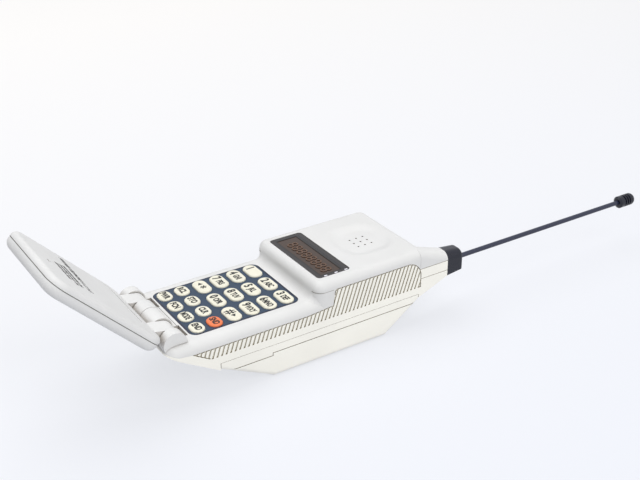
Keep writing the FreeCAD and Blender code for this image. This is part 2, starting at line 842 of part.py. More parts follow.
def keypad_panel():
    """Thin inset panel with a hole for each key."""
    body = new_body("keypad_panel")
    plate = new_sketch(body, "XY_Plane", "deck_top - panel_thick")
    rounded_rectangle(plate, "panel_left", "panel_right", "-panel_half", "panel_half",
                      "panel_corner")
    pad(body, plate, "panel_thick")
    main_hole = new_sketch(body, "XY_Plane", "deck_top")
    stadium(main_hole, "(row_one - 3 * row_pitch)", "(-column_pitch)", "key_wide", "key_long",
            "key_gap")
    first = pocket(body, main_hole, "2 * panel_thick")
    grid(body, first, main_hole, ("3 * row_pitch", 4), ("2 * column_pitch", 3))
    small_hole = new_sketch(body, "XY_Plane", "deck_top")
    stadium(small_hole, "(small_row_one - small_row_pitch)", "(-1.5 * small_column_pitch)",
            "small_wide", "small_long", "key_gap")
    first = pocket(body, small_hole, "2 * panel_thick")
    grid(body, first, small_hole, ("small_row_pitch", 2), ("3 * small_column_pitch", 4))
    return body


def keypad_membrane():
    """Rubber sheet that the keys press through on to the board."""
    body = new_body("keypad_membrane")
    sheet = new_sketch(body, "XY_Plane", BOARD_TOP)
    rounded_rectangle(sheet, "panel_left + panel_ledge", "panel_right - panel_ledge",
                      "board_near", "-board_near", "panel_corner")
    pad(body, sheet, "membrane_thick")
    return body


# ---------------------------------------------------------------- works

def main_board():
    """Circuit board with clearance holes round the two screw columns it passes."""
    body = new_body("main_board")
    plate = new_sketch(body, "XY_Plane", BOARD_TOP + " - board_thick")
    rectangle(plate, "board_left", "board_right", "board_near", "board_far")
    pad(body, plate, "board_thick")
    holes = new_sketch(body, "XY_Plane", BOARD_TOP)
    for y in ("boss_half", "-boss_half"):
        rectangle(holes, "boss_left - boss_radius - 3 * fit_gap",
                  "boss_left + boss_radius + 3 * fit_gap",
                  y + " - boss_radius - 3 * fit_gap", y + " + boss_radius + 3 * fit_gap")
    pocket(body, holes, "2 * board_thick")
    return body


def rf_shield():
    """Folded metal can over the radio side of the board, open towards the board."""
    body = new_body("rf_shield")
    floor = "(" + BOARD_TOP + " - board_thick - shield_height)"
    can = new_sketch(body, "XY_Plane", floor)
    rectangle(can, "shield_left", "shield_right", "board_near + wall", "board_far - 3 * wall")
    pad(body, can, "shield_height")
    room = new_sketch(body, "XY_Plane", floor + " + shield_wall")
    rectangle(room, "shield_left + shield_wall", "shield_right - shield_wall",
              "board_near + wall + shield_wall", "board_far - 3 * wall - shield_wall")
    pocket(body, room, "shield_height", turned=True)
    return body


def display_window():
    """Smoked window that drops into the hood, thinned from below over the digits."""
    body = new_body("display_window")
    pane = new_sketch(body, "XY_Plane", "hood_top - window_sunk - window_thick")
    rounded_rectangle(pane, "window_left", "window_right", "-window_half", "window_half",
                      "window_corner")
    pad(body, pane, "window_thick")
    sight = new_sketch(body, "XY_Plane", "hood_top - window_sunk")
    rectangle(sight, "sight_left", "sight_right", "-sight_half", "sight_half")
    pocket(body, sight, "window_sunk")
    return body


def display_module():
    """Row of digits on a hollow holder that stands on the board."""
    body = new_body("display_module")
    top = "(hood_top - window_sunk - window_thick - 3 * fit_gap - digit_height)"
    holder = new_sketch(body, "XY_Plane", BOARD_TOP)
    rectangle(holder, "sight_left", "sight_right", "-sight_half", "sight_half")
    pad(body, holder, top + " - " + BOARD_TOP)
    room = new_sketch(body, "XY_Plane", BOARD_TOP)
    rectangle(room, "sight_left + wall", "sight_right - wall", "wall - sight_half",
              "sight_half - wall")
    pocket(body, room, top + " - wall - " + BOARD_TOP, turned=True)
    digit = new_sketch(body, "XY_Plane", top)
    rectangle(digit, "(sight_left + sight_right) / 2 - digit_long / 2",
              "(sight_left + sight_right) / 2 + digit_long / 2",
              "-3.5 * digit_pitch - digit_wide / 2", "-3.5 * digit_pitch + digit_wide / 2")
    first = pad(body, digit, "digit_height")
    row = body.newObject("PartDesign::LinearPattern", "digits")
    row.Originals = [first]
    row.Direction = (digit, ["V_Axis"])
    row.setExpression("Length", link("7 * digit_pitch"))
    row.Occurrences = 8
    body.Tip = row
    return body


def turned_piece(label, corners):
    """Body revolved about its own Z axis from an outline of radius and height."""
    body = new_body(label)
    outline = new_sketch(body, "XZ_Plane")
    polygon(outline, corners)
    doc.recompute()
    spun = body.newObject("PartDesign::Revolution", label + "_spin")
    spun.Profile = outline
    spun.ReferenceAxis = (outline, ["V_Axis"])
    spun.Angle = 360
    doc.recompute()
    return body


def earpiece_speaker():
    """Shallow loudspeaker: a wide frame with a smaller magnet behind."""
    body = turned_piece("earpiece_speaker", [
        ("0", "0"), ("speaker_radius * 0.65", "0"),
        ("speaker_radius * 0.65", "speaker_height / 2"),
        ("speaker_radius", "speaker_height * 0.7"),
        ("speaker_radius", "speaker_height"), ("0", "speaker_height"),
    ])
    place(body, "ear_x", "0", "hood_top - wall - ear_depth - speaker_height")
    return body


def ringer():
    """Sounder that stands on the floor of the rear housing."""
    body = turned_piece("ringer", [
        ("0", "0"), ("ringer_radius", "0"), ("ringer_radius", "ringer_height * 0.8"),
        ("ringer_radius - wall / 2", "ringer_height"), ("0", "ringer_height"),
    ])
    place(body, "ringer_x", "0", "bay_top + wall")
    return body


def battery_contacts():
    """Three sprung pins between the battery's terminals and the board."""
    pins = []
    for number, y in enumerate(("-contact_pitch", "0", "contact_pitch")):
        pin = doc.addObject("Part::Cylinder", "contact_pin_%d" % number)
        pin.setExpression("Radius", link("contact_radius"))
        length = BOARD_TOP + " - board_thick - bay_top + battery_gap / 2"
        pin.setExpression("Height", link(length))
        place(pin, "contact_x", y, "bay_top - battery_gap / 2")
        pins.append(pin)
    return group("battery_contacts", pins)


def group(label, items):
    """Several separate solids that share one node."""
    compound = doc.addObject("Part::Compound", label)
    compound.Links = items
    return compound


def housing_screws():
    """Four pan-head screws up through the hollow columns."""
    screws = []
    for x in ("boss_left", "boss_right"):
        for y in ("boss_half", "-boss_half"):
            head = doc.addObject("Part::Cylinder", "screw_head")
            head.setExpression("Radius", link("screw_head"))
            head.setExpression("Height", link("screw_head_height"))
            place(head, x, y, "screw_seat - screw_head_height")
            shank = doc.addObject("Part::Cylinder", "screw_shank")
            shank.setExpression("Radius", link("screw_radius"))
            shank.setExpression("Height", link("screw_length"))
            place(shank, x, y, "screw_seat")
            screw = doc.addObject("Part::Fuse", "screw")
            screw.Base = head
            screw.Tool = shank
            screws.append(screw)
    return group("housing_screws", screws)


# ---------------------------------------------------------------- antenna

def bar_along_x(label, start, length, radius, bore=None):
    """Round bar or tube on the antenna's axis."""
    body = new_body(label)
    ring = new_sketch(body, "YZ_Plane", start)
    circle(ring, "antenna_y", "antenna_z", radius)
    if bore:
        circle(ring, "antenna_y", "antenna_z", bore)
    pad(body, ring, length)
    return body


def antenna_collar():
    """Black boot on the end of the neck, bored for the rod."""
    body = new_body("antenna_collar")
    side = new_sketch(body, "XZ_Plane", "half_width - neck_width")
    polygon(side, [
        ("neck_end", "neck_bottom"), ("neck_end + collar_length", "neck_bottom + collar_drop"),
        ("neck_end + collar_length", "neck_top - collar_drop"), ("neck_end", "neck_top"),
    ])
    pad(body, side, "neck_width")
    high = dim("neck_top - collar_drop - 0.1")
    fillet(body, "neck_round", lambda edge: edge.BoundBox.XLength > 1
           and edge.BoundBox.YLength < TINY and edge.BoundBox.ZMin > high)
    end = dim("neck_end + collar_length")
    fillet(body, "collar_round", lambda edge: at(edge, x=end))
    bore = new_sketch(body, "YZ_Plane", "neck_end")
    circle(bore, "antenna_y", "antenna_z", "rod_radius + running_fit")
    pocket(body, bore, "2 * collar_length", turned=True)
    return body


def antenna():
    """Rod with a stop ferrule at its inner end and a grooved tip."""
    guide = bar_along_x("antenna_guide", "guide_start", "neck_end - guide_start - fit_gap",
                        "guide_radius", "guide_bore")
    rod = bar_along_x("antenna_rod", "rod_start", "rod_length", "rod_radius")
    ferrule = bar_along_x("antenna_ferrule", "rod_start", "ferrule_length", "ferrule_radius",
                          "rod_radius")
    ring = "(tip_length / 7)"
    waist = "tip_radius - tip_groove"
    corners = [("0", "0"), ("tip_radius * 0.7", "0"), ("tip_radius", ring + " * 0.5")]
    for number in (1, 2, 3):
        corners += [
            ("tip_radius", "%s * %d.0" % (ring, number + 1)),
            (waist, "%s * %d.1" % (ring, number + 1)),
            (waist, "%s * %d.5" % (ring, number + 1)),
            ("tip_radius", "%s * %d.6" % (ring, number + 1)),
        ]
    corners += [
        ("tip_radius", "tip_length - tip_radius * 0.6"),
        ("tip_radius * 0.87", "tip_length - tip_radius * 0.3"),
        ("tip_radius * 0.5", "tip_length - tip_radius * 0.05"), ("0", "tip_length"),
    ]
    tip = turned_piece("antenna_tip", corners)
    tip.Placement = FreeCAD.Placement(V(0, 0, 0), FreeCAD.Rotation(V(0, 1, 0), 90))
    place(tip, "rod_start + rod_length", "antenna_y", "antenna_z")
    return [guide, rod, ferrule, tip]


# ---------------------------------------------------------------- flip

def hang_on_hinge(body):
    """Stand the flip open on the hinge. It is drawn closed, with its hinge axis on Y."""
    spin = FreeCAD.Rotation(V(0, -1, 0), dim("flip_open"))
    body.Placement = FreeCAD.Placement(V(dim("hinge_x"), 0, dim("hinge_z")), spin)
    place(body, "hinge_x", "0", "hinge_z")
    body.setExpression("Placement.Rotation.Angle", link("flip_open"))


def flip_outer_cover():
    """Deep outer shell of the flip, rounded all round its outer edge."""
    body = new_body("flip_outer_cover")
    plan = new_sketch(body, "XY_Plane", "flip_seam")
    rounded_rectangle(plan, "flip_start", "flip_length", "-flip_half", "flip_half", "flip_corner")
    pad(body, plan, "flip_outside - flip_seam")
    outside = dim("flip_outside")
    fillet(body, "flip_round", lambda edge: at(edge, z=outside))
    room = new_sketch(body, "XY_Plane", "flip_seam")
    rounded_rectangle(
        room, "flip_start + 1.6 * flip_wall", "flip_length - 1.6 * flip_wall",
        "1.6 * flip_wall - flip_half", "flip_half - 1.6 * flip_wall",
        "flip_corner - 1.6 * flip_wall",
    )
    pocket(body, room, "flip_outside - flip_seam - flip_wall", turned=True)
    seam = new_sketch(body, "XY_Plane", "flip_seam")
    rounded_rectangle(seam, "flip_start - wall", "flip_length + wall", "-(flip_half + wall)",
                      "flip_half + wall", "flip_corner")
    rounded_rectangle(seam, "flip_start + line_wide", "flip_length - line_wide",
                      "line_wide - flip_half", "flip_half - line_wide",
                      "flip_corner - line_wide")
    pocket(body, seam, "line_wide * 0.8", turned=True)
    hang_on_hinge(body)
    return body


def flip_inner_cover():
    """Inner face of the flip with the two tabs that turn on the hinge pin."""
    body = new_body("flip_inner_cover")
    plan = new_sketch(body, "XY_Plane", "flip_inside")
    rounded_rectangle(plan, "flip_start", "flip_length", "-flip_half", "flip_half", "flip_corner")
    pad(body, plan, "flip_seam - flip_inside")
    room = new_sketch(body, "XY_Plane", "flip_seam")
    rounded_rectangle(
        room, "flip_start + 1.6 * flip_wall", "flip_length - 1.6 * flip_wall",
        "1.6 * flip_wall - flip_half", "flip_half - 1.6 * flip_wall",
        "flip_corner - 1.6 * flip_wall",
    )
    pocket(body, room, "flip_seam - flip_inside - flip_wall")
    inside = dim("flip_inside")
    fillet(body, "flip_roll", lambda edge: at(edge, z=inside))
    line = new_sketch(body, "XY_Plane", "flip_inside")
    polygon(line, [
        ("flip_line", "flip_line_near"), ("flip_line + line_wide", "flip_line_near"),
        ("flip_line + line_wide", "flip_line_far"),
        ("flip_line + line_wide + flip_line_slant", "flip_line_far + flip_line_slant"),
        ("flip_line + flip_line_slant", "flip_line_far + flip_line_slant"),
        ("flip_line", "flip_line_far"),
    ])
    pocket(body, line, "line_fine", turned=True)
    far = "(flip_start + flip_roll)"
    for low in ("-tab_inner", "tab_outer"):
        web = new_sketch(body, "XZ_Plane", low)
        polygon(web, [
            ("0", "flip_seam"), ("0", "-tab_radius * 0.9"),
            ("tab_radius * 0.7", "-tab_radius * 0.714"), (far, "flip_inside"),
            (far, "flip_seam"),
        ])
        pad(body, web, "tab_outer - tab_inner", turned=True)
        barrel = new_sketch(body, "XZ_Plane", low)
        circle(barrel, "0", "0", "tab_radius")
        pad(body, barrel, "tab_outer - tab_inner", turned=True)
    bore = new_sketch(body, "XZ_Plane")
    circle(bore, "0", "0", "pin_radius + running_fit")
    pocket(body, bore, "4 * tab_outer", symmetric=True)
    port = new_sketch(body, "XY_Plane", "flip_inside")
    rectangle(port, "(flip_length - mic_inset) - mic_port / 5", "(flip_length - mic_inset) + mic_port / 5",
              "mic_y - mic_port / 2", "mic_y + mic_port / 2")
    pocket(body, port, "flip_wall", turned=True)
    hang_on_hinge(body)
    return body


def microphone():
    """Capsule on the inside of the flip's inner face, behind its port."""
    body = new_body("microphone")
    disc = new_sketch(body, "XY_Plane", "flip_inside + flip_wall")
    circle(disc, "(flip_length - mic_inset)", "mic_y", "mic_radius")
    pad(body, disc, "mic_height")
    hang_on_hinge(body)
    return body


def hinge_pin():
    body = new_body("hinge_pin")
    rod = new_sketch(body, "XZ_Plane")
    circle(rod, "hinge_x", "hinge_z", "pin_radius")
    pad(body, rod, "2 * pin_half", symmetric=True)
    return body


# ---------------------------------------------------------------- battery

BATTERY_TOP = "(bay_top - battery_gap)"
CAVITY_END = "(bay_end - latch_gap - latch_reach - latch_travel - 2 * wall)"


def battery_form():
    """The whole pack in one: a shallow hull with sloping ends and a latch recess."""
    body = new_body("battery_form")
    side = new_sketch(body, "XZ_Plane")
    polygon(side, [
        ("battery_left", BATTERY_TOP), ("battery_left", "battery_left_foot"),
        ("battery_flat_left", "0"), ("battery_flat_right", "0"),
        ("battery_right", "battery_right_foot"), ("battery_right", BATTERY_TOP),
    ])
    pad(body, side, "2 * half_width", symmetric=True)
    foot = dim("battery_right_foot")
    half = dim("half_width")
    fillet(body, "battery_round", lambda edge: edge.BoundBox.Center.z < foot - 1
           and edge.BoundBox.YLength < TINY and abs(abs(edge.BoundBox.Center.y) - half) < TINY)
    room = new_sketch(body, "XZ_Plane")
    rise = "battery_right_foot / (battery_right - battery_flat_right)"
    polygon(room, [
        ("battery_flat_left + battery_wall / 4", "battery_wall"),
        ("battery_flat_right - battery_wall / 3", "battery_wall"),
        (CAVITY_END, "(%s - battery_flat_right) * %s + 1.3 * battery_wall" % (CAVITY_END, rise)),
        (CAVITY_END, BATTERY_TOP + " - battery_wall"),
        ("battery_left + battery_wall", BATTERY_TOP + " - battery_wall"),
        ("battery_left + battery_wall", "battery_left_foot + battery_wall / 2"),
    ])
    pocket(body, room, "2 * (half_width - battery_wall)", symmetric=True)
    latch = new_sketch(body, "XZ_Plane")
    rectangle(latch, "battery_right - latch_reach - latch_travel - latch_gap",
              "battery_right + wall", "latch_bottom - latch_gap", "latch_top + latch_gap")
    pocket(body, latch, "2 * (latch_half + latch_gap)", symmetric=True)
    seats = new_sketch(body, "XY_Plane", BATTERY_TOP)
    for y in ("-contact_pitch", "0", "contact_pitch"):
        rectangle(seats, "contact_x - terminal_half", "contact_x + terminal_half",
                  y + " - terminal_half", y + " + terminal_half")
    pocket(body, seats, "terminal_thick")
    for offset, turned in (("half_width", False), ("-half_width", True)):
        seam = new_sketch(body, "XZ_Plane", offset)
        polygon(seam, [
            ("battery_left - wall", "seam_low - seam_gap"),
            ("seam_step", "seam_low - seam_gap"), ("seam_step", "seam_high - seam_gap"),
            ("battery_right + wall", "seam_high - seam_gap"),
            ("battery_right + wall", "seam_high"), ("seam_step - seam_gap", "seam_high"),
            ("seam_step - seam_gap", "seam_low"), ("battery_left - wall", "seam_low"),
        ])
        pocket(body, seam, "seam_depth", turned=turned)
    return body


def battery_shells():
    """Battery base against the telephone and outer shell below, split at the seam."""
    form = battery_form()
    block = new_body("battery_parting")
    side = new_sketch(block, "XZ_Plane")
    polygon(side, [
        ("battery_left - wall", "seam_low - seam_gap / 2"),
        ("seam_step - seam_gap / 2", "seam_low - seam_gap / 2"),
        ("seam_step - seam_gap / 2", "seam_high - seam_gap / 2"),
        ("battery_right + wall", "seam_high - seam_gap / 2"),
        ("battery_right + wall", "bay_top + wall"), ("battery_left - wall", "bay_top + wall"),
    ])
    pad(block, side, "3 * half_width", symmetric=True)
    base = doc.addObject("Part::Common", "battery_base")
    shell = doc.addObject("Part::Cut", "battery_shell")
    for piece in (base, shell):
        piece.Base = form
        piece.Tool = block
    return [base, shell]


def battery_cells():
    """Five cells side by side across the pack, each with its raised end."""
    cells = []
    for number in range(-2, 3):
        can = doc.addObject("Part::Cylinder", "cell_can")
        can.setExpression("Radius", link("cell_radius"))
        can.setExpression("Height", link("cell_length"))
        nub = doc.addObject("Part::Cylinder", "cell_nub")
        nub.setExpression("Radius", link("cell_radius / 3"))
        nub.setExpression("Height", link("battery_wall"))
        turn = FreeCAD.Rotation(V(1, 0, 0), -90)
        for item, start in ((can, "-cell_length / 2"), (nub, "cell_length / 2")):
            item.Placement = FreeCAD.Placement(V(0, 0, 0), turn)
            place(item, "%d * cell_pitch" % number, start,
                  "battery_wall + cell_radius + fit_gap")
        cell = doc.addObject("Part::Fuse", "cell")
        cell.Base = can
        cell.Tool = nub
        cells.append(cell)
    return group("battery_cells", cells)


def battery_terminals():
    """Three flat plates let into the top of the battery."""
    plates = []
    for y in ("-contact_pitch", "0", "contact_pitch"):
        plate = doc.addObject("Part::Box", "terminal")
        plate.setExpression("Length", link("2 * terminal_half - fit_gap"))
        plate.setExpression("Width", link("2 * terminal_half - fit_gap"))
        plate.setExpression("Height", link("terminal_thick"))
        place(plate, "contact_x - terminal_half + fit_gap / 2",
              y + " - terminal_half + fit_gap / 2", BATTERY_TOP + " - terminal_thick")
        plates.append(plate)
    return group("battery_terminals", plates)


def battery_latch():
    """Thumb catch at the antenna end of the battery, with its nose in the bay's wall."""
    body = new_body("battery_latch")
    side = new_sketch(body, "XZ_Plane")
    polygon(side, [
        ("battery_right - latch_reach", "latch_top"),
        ("battery_right - latch_reach", "latch_bottom + wall"),
        ("battery_right - latch_reach / 2", "latch_bottom"),
        ("battery_right - wall / 2", "latch_bottom"),
        ("battery_right", "latch_bottom + wall / 2"), ("battery_right", "latch_top - wall / 2"),
        ("battery_right + nose_reach", "latch_top - wall / 2"),
        ("battery_right + nose_reach", "latch_top"),
    ])
    pad(body, side, "2 * latch_half", symmetric=True)
    return body


# ---------------------------------------------------------------- assembly

parts = housings()
parts += keys()
parts += [
    keypad_panel(), keypad_membrane(), main_board(), rf_shield(), display_window(),
    display_module(), earpiece_speaker(), ringer(), battery_contacts(), housing_screws(),
    antenna_collar(),
]
parts += antenna()
parts += [hinge_pin(), flip_inner_cover(), flip_outer_cover(), microphone()]
parts += battery_shells()
parts += [battery_cells(), battery_terminals(), battery_latch()]
doc.recompute()

for item in doc.Objects:
    if "Invalid" in item.State or "Error" in item.State:
        raise RuntimeError("%s did not build: %s" % (item.Label, item.State))
for item in parts:
    if item.Shape.isNull() or not item.Shape.isValid() or not item.Shape.Solids:
        raise RuntimeError("%s has no valid solid" % item.Label)

os.makedirs("parts", exist_ok=True)
for item in parts:
    item.Shape.exportStep("parts/%s.step" % item.Label)
print("%d nodes written" % len(parts))
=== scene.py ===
"""Hand-held telephone with a fold-down mouthpiece: finishes, printing and studio."""
import bpy
import json
from math import cos, radians, sin
from mathutils import Matrix, Vector


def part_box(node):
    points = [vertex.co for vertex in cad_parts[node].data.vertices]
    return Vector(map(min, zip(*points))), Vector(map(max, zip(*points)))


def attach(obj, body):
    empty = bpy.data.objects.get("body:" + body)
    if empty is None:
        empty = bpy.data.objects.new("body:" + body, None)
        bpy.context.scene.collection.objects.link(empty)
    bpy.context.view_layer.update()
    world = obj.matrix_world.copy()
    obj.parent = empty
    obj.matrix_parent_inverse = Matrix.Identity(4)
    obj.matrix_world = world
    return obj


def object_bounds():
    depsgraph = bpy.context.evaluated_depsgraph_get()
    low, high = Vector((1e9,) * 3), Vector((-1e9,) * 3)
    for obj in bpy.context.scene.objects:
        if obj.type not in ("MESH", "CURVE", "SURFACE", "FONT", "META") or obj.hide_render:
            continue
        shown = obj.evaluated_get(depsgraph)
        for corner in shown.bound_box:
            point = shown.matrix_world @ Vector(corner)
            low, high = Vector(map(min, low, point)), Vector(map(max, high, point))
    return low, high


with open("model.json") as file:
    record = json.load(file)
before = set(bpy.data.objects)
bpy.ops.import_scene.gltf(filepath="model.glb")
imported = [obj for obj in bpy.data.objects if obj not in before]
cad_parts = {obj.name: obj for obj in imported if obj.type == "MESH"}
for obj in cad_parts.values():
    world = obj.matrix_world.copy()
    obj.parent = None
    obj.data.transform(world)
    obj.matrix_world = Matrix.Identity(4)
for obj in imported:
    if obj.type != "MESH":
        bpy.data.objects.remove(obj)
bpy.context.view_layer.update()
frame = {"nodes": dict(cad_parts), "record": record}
NODES = frame["nodes"]
MM = 0.001

GROOVE_REACH = 0.9 * MM      # how far the grime and painted shade look for the walls of a groove
CORNER_REACH = 6 * MM        # how far the dust and painted shade look for the walls of a corner
SKIN_GRAIN = 2600.0          # noise scale of the plastic's fine grain
DRAWN_STREAKS = 900.0        # noise scale of the streaks in plated metal
CAP_SHARE = 0.72             # height of a capital as a share of the font size
INK_RAISE = 0.02 * MM        # height of printing above its surface
INK_THICK = 0.03 * MM


# ---------------------------------------------------------------- materials

def new_material(name):
    """A new node material, its node tree and its Principled shader."""
    material = bpy.data.materials.new(name)
    material.use_nodes = True
    tree = material.node_tree
    shader = tree.nodes["Principled BSDF"]
    return material, tree, shader


def add(tree, kind, **settings):
    """A node of this kind, with its inputs or attributes set by name."""
    node = tree.nodes.new(kind)
    for key, value in settings.items():
        label = key.replace("_", " ")
        if label in node.inputs:
            node.inputs[label].default_value = value
        else:
            setattr(node, key, value)
    return node


def ramp(tree, source, stops):
    """A colour ramp over source, with stops of (place, colour)."""
    node = tree.nodes.new("ShaderNodeValToRGB")
    elements = node.color_ramp.elements
    while len(elements) < len(stops):
        elements.new(0.5)
    for element, (place, colour) in zip(elements, stops):
        element.position = place
        element.color = (*colour, 1)
    tree.links.new(source, node.inputs[0])
    return node.outputs[0]


def grey(value):
    return (value, value, value)


def scaled(colour, factor):
    return tuple(min(1, part * factor) for part in colour)


def tinted(tree, tone, reach, stops, colour):
    """Tone that turns to colour where the surface is shut in within reach, painting shade there.
    """
    crease = add(tree, "ShaderNodeAmbientOcclusion", samples=6, Distance=reach)
    shut_in_shade = ramp(tree, crease.outputs["AO"], stops)
    mix = tree.nodes.new("ShaderNodeMix")
    mix.data_type = "RGBA"
    tree.links.new(shut_in_shade, mix.inputs["Factor"])
    tree.links.new(tone, mix.inputs[6])
    mix.inputs[7].default_value = (*colour, 1)
    return mix.outputs[2]


def moulding(name, colour, groove_grime_and_shade=None, corners=None, roughness=0.5, relief=0.035, gloss=0.35):
    """Moulded plastic: slow shifts of tone and a fine grained skin, relief mm deep.

    Grooves take a colour of grime and painted shade, wide corners one of dust and painted shade.
    """
    material, tree, shader = new_material(name)
    place = add(tree, "ShaderNodeTexCoord").outputs["Object"]
    slow = add(tree, "ShaderNodeTexNoise", Scale=26.0, Detail=3.0)
    fine = add(tree, "ShaderNodeTexNoise", Scale=SKIN_GRAIN, Detail=2.0)
    handled = add(tree, "ShaderNodeTexNoise", Scale=110.0, Detail=5.0, Roughness=0.6)
    for node in (slow, fine, handled):
        tree.links.new(place, node.inputs["Vector"])
    tone = ramp(tree, slow.outputs["Fac"],
                [(0.35, scaled(colour, 0.965)), (0.65, scaled(colour, 1.02))])
    # dust and painted shade in wide corners, where ambient occlusion finds walls within reach
    if corners:
        tone = tinted(tree, tone, CORNER_REACH, [(0.35, grey(0.75)), (0.8, grey(0))], corners)
    # grime and painted shade in grooves, where ambient occlusion finds walls within reach
    if groove_grime_and_shade:
        tone = tinted(tree, tone, GROOVE_REACH, [(0.46, grey(1)), (0.86, grey(0))], groove_grime_and_shade)
    tree.links.new(tone, shader.inputs["Base Color"])
    worn = ramp(tree, handled.outputs["Fac"],
                [(0.3, grey(roughness - 0.06)), (0.7, grey(roughness + 0.06))])
    tree.links.new(worn, shader.inputs["Roughness"])
    shader.inputs["Specular IOR Level"].default_value = gloss
    bump = add(tree, "ShaderNodeBump", Strength=0.5, Distance=relief * MM)
    tree.links.new(fine.outputs["Fac"], bump.inputs["Height"])
    tree.links.new(bump.outputs["Normal"], shader.inputs["Normal"])
    return material


def metal(name, colour, roughness=0.3):
    """Plated metal with fine drawn streaks along the telephone."""
    material, tree, shader = new_material(name)
    place = add(tree, "ShaderNodeTexCoord").outputs["Object"]
    turn = add(tree, "ShaderNodeMapping")
    turn.inputs["Scale"].default_value = (0.1, 1, 1)
    noise = add(tree, "ShaderNodeTexNoise", Scale=DRAWN_STREAKS, Detail=3.0)
    tree.links.new(place, turn.inputs["Vector"])
    tree.links.new(turn.outputs["Vector"], noise.inputs["Vector"])
    tone = ramp(tree, noise.outputs["Fac"],
                [(0.3, scaled(colour, 0.85)), (0.7, scaled(colour, 1.05))])
    tree.links.new(tone, shader.inputs["Base Color"])
    rough = ramp(tree, noise.outputs["Fac"],
                 [(0.3, grey(roughness - 0.08)), (0.7, grey(roughness + 0.1))])
    tree.links.new(rough, shader.inputs["Roughness"])
    shader.inputs["Metallic"].default_value = 1.0
    return material


def framed(name, centre, half, soft, stops, roughness):
    """Sheet whose colour follows the distance from a rectangle.

    The rectangle has its centre, its half sizes and corners soft round. The stops give
    distances past its edge, less than nothing inside, with their colours.
    """
    material, tree, shader = new_material(name)
    place = add(tree, "ShaderNodeTexCoord").outputs["Object"]
    apart = add(tree, "ShaderNodeSeparateXYZ")
    tree.links.new(place, apart.inputs[0])

    def outside(axis):
        """How far a point lies past the rectangle's edge along one axis."""
        shift = add(tree, "ShaderNodeMath", operation="SUBTRACT")
        tree.links.new(apart.outputs[axis], shift.inputs[0])
        shift.inputs[1].default_value = centre[axis]
        size = add(tree, "ShaderNodeMath", operation="ABSOLUTE")
        tree.links.new(shift.outputs[0], size.inputs[0])
        past = add(tree, "ShaderNodeMath", operation="SUBTRACT")
        tree.links.new(size.outputs[0], past.inputs[0])
        past.inputs[1].default_value = half[axis]
        return past.outputs[0]

    most = add(tree, "ShaderNodeMath", operation="SMOOTH_MAX")
    tree.links.new(outside(0), most.inputs[0])
    tree.links.new(outside(1), most.inputs[1])
    most.inputs[2].default_value = soft
    first, last = stops[0][0], stops[-1][0]
    reach = add(tree, "ShaderNodeMapRange")
    reach.inputs["From Min"].default_value = first
    reach.inputs["From Max"].default_value = last
    tree.links.new(most.outputs[0], reach.inputs["Value"])
    tone = ramp(tree, reach.outputs[0],
                [((far - first) / (last - first), colour) for far, colour in stops])
    noise = add(tree, "ShaderNodeTexNoise", Scale=420.0, Detail=4.0)
    tree.links.new(place, noise.inputs["Vector"])
    shade = ramp(tree, noise.outputs["Fac"], [(0.35, grey(0.92)), (0.65, grey(1))])
    mix = tree.nodes.new("ShaderNodeMix")
    mix.data_type = "RGBA"
    mix.blend_type = "MULTIPLY"
    mix.inputs["Factor"].default_value = 1
    tree.links.new(tone, mix.inputs[6])
    tree.links.new(shade, mix.inputs[7])
    tree.links.new(mix.outputs[2], shader.inputs["Base Color"])
    rough = ramp(tree, noise.outputs["Fac"],
                 [(0.35, grey(roughness - 0.05)), (0.65, grey(roughness + 0.05))])
    tree.links.new(rough, shader.inputs["Roughness"])
    shader.inputs["Specular IOR Level"].default_value = 0.35
    return material


def middle(node):
    """The middle of a node's box."""
    low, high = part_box(node)
    return [(a + b) / 2 for a, b in zip(low, high)]


def half_size(node):
    """Half the size of a node's box."""
    low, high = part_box(node)
    return [(b - a) / 2 for a, b in zip(low, high)]


WHITE = (0.70, 0.70, 0.695)
CREAM = (0.90, 0.885, 0.82)
# KHAKI and SMOKE tint grooves with grime and painted shade
KHAKI = (0.20, 0.155, 0.065)
SMOKE = (0.20, 0.19, 0.17)
# tints wide corners with dust and painted shade
DUST_AND_SHADE = (0.36, 0.32, 0.28)

shell_white = moulding("shell_white_plastic", WHITE, groove_grime_and_shade=SMOKE, corners=DUST_AND_SHADE)
shell_cream = moulding("shell_cream_plastic", CREAM, groove_grime_and_shade=KHAKI)
key_cream = moulding("key_cream_plastic", (0.80, 0.775, 0.65), roughness=0.38, relief=0.01)
key_orange = moulding("key_orange_plastic", (0.80, 0.20, 0.075), roughness=0.38, relief=0.01)
black = moulding("black_plastic", (0.008, 0.009, 0.018), roughness=0.27, relief=0.006, gloss=0.4)
rod_black = moulding("antenna_sleeve", (0.010, 0.014, 0.040), roughness=0.28, relief=0.004,
                     gloss=0.6)
rubber = moulding("membrane_rubber", grey(0.2), roughness=0.7)
board = moulding("board_lacquer", (0.02, 0.10, 0.04), roughness=0.35)
speaker = moulding("speaker_paint", grey(0.03), roughness=0.6)
wrap = moulding("cell_wrap", (0.04, 0.06, 0.12), roughness=0.4)
led_red = moulding("digit_resin", (0.12, 0.02, 0.01), roughness=0.3)
steel = metal("bright_steel", (0.60, 0.60, 0.61))
gold = metal("contact_gold", (0.80, 0.58, 0.24), roughness=0.25)
ink = moulding("legend_ink", grey(0.010), roughness=0.5, relief=0.004)
flip_ink = moulding("flip_ink", grey(0.055), roughness=0.6, relief=0.004)
# grey of the painted shadow line under the hood's edge
shadow_line_grey = moulding("shadow_line_grey", (0.30, 0.29, 0.26), roughness=0.6, relief=0.004)
# pale colour of the painted glints on the window
painted_glint_pale = moulding("painted_glint_pale", (0.75, 0.74, 0.80), roughness=0.5, relief=0.004)
digit_ink = moulding("digit_glow", (0.095, 0.044, 0.020), roughness=0.3, relief=0.004)

